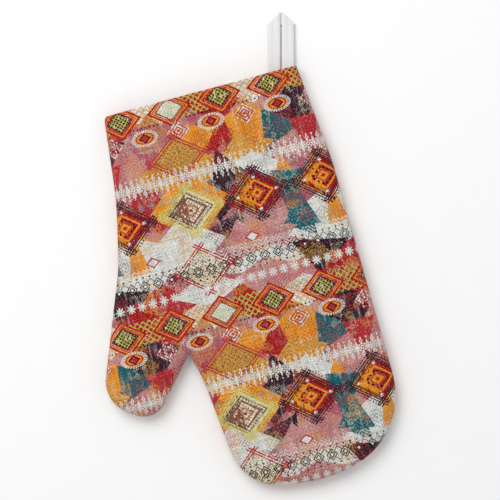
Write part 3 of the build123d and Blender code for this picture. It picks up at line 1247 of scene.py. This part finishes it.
        self.add(d.below(0.93), yellow.paint(RED, CREAM))
        warm = yellow.paint(ORANGE, BROWN)
        self.add(d.below(0.93) * u.above(2.0) * self.dry.above(0.47), warm)
        self.add(d.near(0.55, 0.05), warm)
        self.add(blocks(0.40, 0.055, 0.13, 0.06, 0.46) * red, BLACK)
        corner = at_corners(0.66, 0.05).most(at_corners(0.26, 0.045))
        upright = abs(u).below(1.5) * abs(v).near(14.2, 1.6)
        level = abs(v).below(1.3) * abs(u).near(17.0, 1.6)
        self.add(corner.most(upright.most(level)) * red, CHALK)
        self.add(d.below(0.30) * red, ORANGE)
        self.add(d.near(0.26, 0.03).most(d.below(0.09)), RED)
        scratch = hatch(u, v, 3.6, 0.42) * d.below(0.86) * yellow
        self.add(scratch * self.fine.above(0.44), BROWN)
        line_tint = yellow.paint(PLUM, STRAW)
        self.add(frame_lines(u, v, size, 0.80, 1.17, 3, 1.30), line_tint)
        self.add(frame_lines(u, v, size, 0.74, 0.80, 1, 0.8), BLACK)
        self.add(blocks(1.22, 0.05, 0.09, 0.035, 1.0) * self.kept, line_tint)

    def outlined_diamonds(self):
        """Small outlined and nested diamonds."""
        d = diamond(*self.repeats(12, 125, 2), 6.2, 4.6)
        self.add(d.below(1.0), CHALK)
        self.add(d.near(0.86, 0.14), ROSE)
        d = diamond(*self.repeats(35, 123, 2), 9.5, 8.5)
        rings = d.math("MODULO", 0.42).below(0.12) * d.below(1.1)
        self.add(rings * self.fine.above(0.45) * 0.8, SAGE)

    def black_band(self):
        """White hatching over a black band of nested diamonds."""
        u, v = self.x.wrap(5.6), self.down(134)
        comb = (abs(u) + v).wrap(1.5).near(0.0, 0.52) * abs(v + 0.5).below(5.0)
        self.add(comb * self.fine.above(0.42), CHALK)
        v = self.down(142)
        d = diamond(u, v, 5.0, 5.4)
        nested = d.near(0.84, 0.12).most(d.near(0.42, 0.12))
        arms = (abs(u) - abs(v)).near(0.0, 0.42) * abs(v).below(7.4) * abs(v).above(2.4)
        dots = self.x.wrap(2.8).near(0.0, 0.7) * abs(v).near(7.2, 0.7)
        mixed = self.place.noise(0.035, 1.0).above(0.62)
        self.add(nested.most(arms).most(dots) * self.kept, mixed.paint(BLACK, PLUM))
        self.add(d.below(0.26), CHALK)

    def stars(self, across, depth, arm, width):
        """The mask of a chain of stars."""
        return star_of((self.x - across).wrap(4.6), self.down(depth), arm, width)

    def wear(self):
        """Speckle and worn, dry colour over the whole print."""
        speck = self.place.noise(1.1, 1.0, 0.5)
        self.add(speck.spread(0.62, 0.72, 0.0, 0.75), BLACK)
        self.add(speck.spread(0.36, 0.27, 0.0, 0.5), CHALK)
        self.add(self.speckled.spread(0.60, 0.72, 0.0, 0.35), BROWN)
        self.add(self.dry.spread(0.60, 0.78, 0.0, 0.35), CREAM)


def printed_canvas():
    """Canvas with the print: patches, then rows of motifs, then wear, over an uneven weave with
    painted shade and highlight.
    """
    finish = Finish("printed_canvas")
    place = finish.on_cloth()
    motifs = Print(place)
    motifs.patches()
    motifs.scribble()
    motifs.small_diamonds()
    motifs.ovals()
    motifs.brown_diamonds()
    motifs.flowers()
    motifs.add(motifs.stars(2.0, 80, 3.0, 0.5) * motifs.fine.above(0.45) * 0.85, GREY)
    motifs.large_diamonds()
    motifs.outlined_diamonds()
    motifs.black_band()
    motifs.add(motifs.stars(4.0, 157, 3.7, 0.62), CHALK)
    motifs.wear()
    height, tone = woven(place, 0.95)
    # Thread-by-thread tone, with painted shade in the weave's hollows and painted highlight on its
    # raised threads, scales the print's colour.
    tone_and_painted_shade = tone.spread(0.3, 0.7, 0.64, 1.22) * height.spread(0.0, 0.9, 0.50, 1.12)
    finish.set("Base Color", motifs.colour.scaled(tone_and_painted_shade))
    finish.set("Roughness", tone.spread(0.2, 0.8, 0.78, 0.94))
    finish.set("Specular IOR Level", 0.12)
    finish.set("Sheen Weight", 0.05)
    finish.set("Sheen Roughness", 0.5)
    finish.bump(height + tone * 0.5, 0.22, 0.8)
    return finish.material


def plain_cloth(name, tint, pitch, dark=0.82, depth=0.2, herringbone=False):
    """A woven finish of one tint, with uneven threads and painted shade in the weave's hollows."""
    finish = Finish(name)
    place = finish.on_cloth()
    if herringbone:
        x, y = place.parts()
        slope = abs(x.wrap(2.55)) * 1.6 + y
        height = abs((slope * (math.pi / pitch)).math("SINE"))
        tone = place.noise(1.0, 1.0, stretch=(0.9 / pitch, 0.05, 1))
    else:
        height, tone = woven(place, pitch)
    # Thread tone, with painted shade in the weave's hollows, darkens the tint; a broad tone varies
    # it a little.
    tone_and_painted_shade = tone.spread(0.3, 0.7, dark, 1.0) * height.spread(0.0, 0.9, dark, 1.0)
    tone_and_painted_shade = tone_and_painted_shade * place.noise(0.03).spread(0.3, 0.7, 0.96, 1.02)
    finish.set("Base Color", finish.tint(tint).scaled(tone_and_painted_shade))
    finish.set("Roughness", tone.spread(0.2, 0.8, 0.8, 0.95))
    finish.set("Specular IOR Level", 0.25)
    finish.set("Sheen Weight", 0.1)
    finish.bump(height, depth, 0.8)
    return finish.material


def fibrous(name, tint, scale, depth):
    """A finish of matted or twisted fibres, with painted shade between them."""
    finish = Finish(name)
    place = finish.on_object()
    hairs = place.noise(scale, 4.0, 0.7, stretch=(1.0, 0.35, 1.6))
    # Painted shade where the fibres lie low and slight painted highlight where they stand up, with
    # clumps of paler and darker fibre, scale the tint.
    clumps = place.noise(scale * 0.12)
    tone_and_painted_shade = hairs.spread(0.25, 0.75, 0.82, 1.04) * clumps.spread(0.3, 0.7, 0.94, 1.03)
    finish.set("Base Color", finish.tint(tint).scaled(tone_and_painted_shade))
    finish.set("Roughness", hairs.spread(0.2, 0.8, 0.85, 0.97))
    finish.set("Sheen Weight", 0.15)
    finish.bump(hairs, depth, 0.7)
    return finish.material


def paper():
    """The floor: an even pale sheet with a very faint grain."""
    finish = Finish("paper")
    grain = finish.on_object().noise(60.0)
    finish.set("Base Color", grain.paint((0.955, 0.955, 0.955, 1), (0.975, 0.975, 0.975, 1)))
    finish.set("Roughness", 0.95)
    finish.set("Specular IOR Level", 0.1)
    return finish.material


CANVAS_FINISH = printed_canvas()
LINING_FINISH = plain_cloth("cotton_lining", linear(226, 218, 198), 0.8)
WADDING_FINISH = fibrous("wadding", linear(232, 229, 220), 900.0, 0.6)
TAPE_TINT = linear(240, 240, 240)
TAPE_FINISH = plain_cloth("loop_tape", TAPE_TINT, 0.85, dark=0.95, depth=0.12, herringbone=True)
THREAD_FINISH = fibrous("white_thread", linear(236, 235, 230), 2600.0, 0.08)
SEAM_FINISH = fibrous("seam_thread", linear(120, 52, 50), 2600.0, 0.08)

# --- what each piece rides on, stands for and wears ---
PIECES = [
    (canvas[True], "outer_front", "printed_canvas", CANVAS_FINISH),
    (canvas[False], "outer_back", "printed_canvas", CANVAS_FINISH),
    (wadding[True], "wadding_front", "wadding", WADDING_FINISH),
    (wadding[False], "wadding_back", "wadding", WADDING_FINISH),
    (lining[True], "lining_front", "cotton_lining", LINING_FINISH),
    (lining[False], "lining_back", "cotton_lining", LINING_FINISH),
    (quilting[True], "quilting_front", "white_thread", THREAD_FINISH),
    (quilting[False], "quilting_back", "white_thread", THREAD_FINISH),
    (cuff_stitches[True], "cuff_stitching_front", "white_thread", THREAD_FINISH),
    (cuff_stitches[False], "cuff_stitching_back", "white_thread", THREAD_FINISH),
    (side_thread, "side_seam_thread", "seam_thread", SEAM_FINISH),
    (lining_thread, "lining_seam_thread", "seam_thread", SEAM_FINISH),
    (tacks, "loop_tacks", "white_thread", THREAD_FINISH),
]
for piece, node, slot, finish in PIECES:
    piece.data.materials.append(finish)
    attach(piece, "mitt")
    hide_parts(node)

tape.data.materials.append(TAPE_FINISH)
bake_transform(tape)
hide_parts("hanging_loop", "loop_ends")

# Each half is cut to the plan, 228 mm by 330 mm, and 4.3 mm more all round for the height of the
# padded side, with a 5 mm turning at the cuff. The lines below only name each half's wadding;
# nothing uses the names.
BELOW = {front: [NAME[front] + "_wadding"] for front in BOTH}
for front in BOTH:
    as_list(BELOW[front])
for front in BOTH:
    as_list(BELOW[front])

# --- floor, light and camera ---
floor = make("floor", [(-3, -3, 0), (3, -3, 0), (3, 3, 0), (-3, 3, 0)], [(0, 1, 2, 3)])
floor.data.materials.append(paper())

scene = bpy.context.scene
lamp = bpy.data.lights.new("key", "AREA")
lamp.shape = "RECTANGLE"
lamp.size, lamp.size_y = 1.6, 1.2
lamp.energy = 22
key = bpy.data.objects.new("key", lamp)
key.location = (-0.4, 1.1, 1.6)
key.rotation_euler = (-key.location).to_track_quat("-Z", "Y").to_euler()
scene.collection.objects.link(key)

world = bpy.data.worlds.new("studio")
world.use_nodes = True
sky = world.node_tree.nodes["Background"]
sky.inputs["Color"].default_value = (1, 1, 1, 1)
sky.inputs["Strength"].default_value = 0.62
scene.world = world
scene.view_settings.view_transform = "Standard"

LOOK = Vector((0.0281, 0.0071, 0.0))  # the point in the middle of the picture
TURN = math.radians(-15.1)
ACROSS = 0.4068  # width of the picture
MITT_TOP = 0.012  # the height at which the picture's width is measured
lens = bpy.data.cameras.new("camera")
lens.lens = 200
lens.sensor_width = 36
camera = bpy.data.objects.new("camera", lens)
camera.location = LOOK + Vector((0, 0, ACROSS * lens.lens / lens.sensor_width + MITT_TOP))
camera.rotation_euler = (0, 0, TURN)
scene.collection.objects.link(camera)
scene.camera = camera
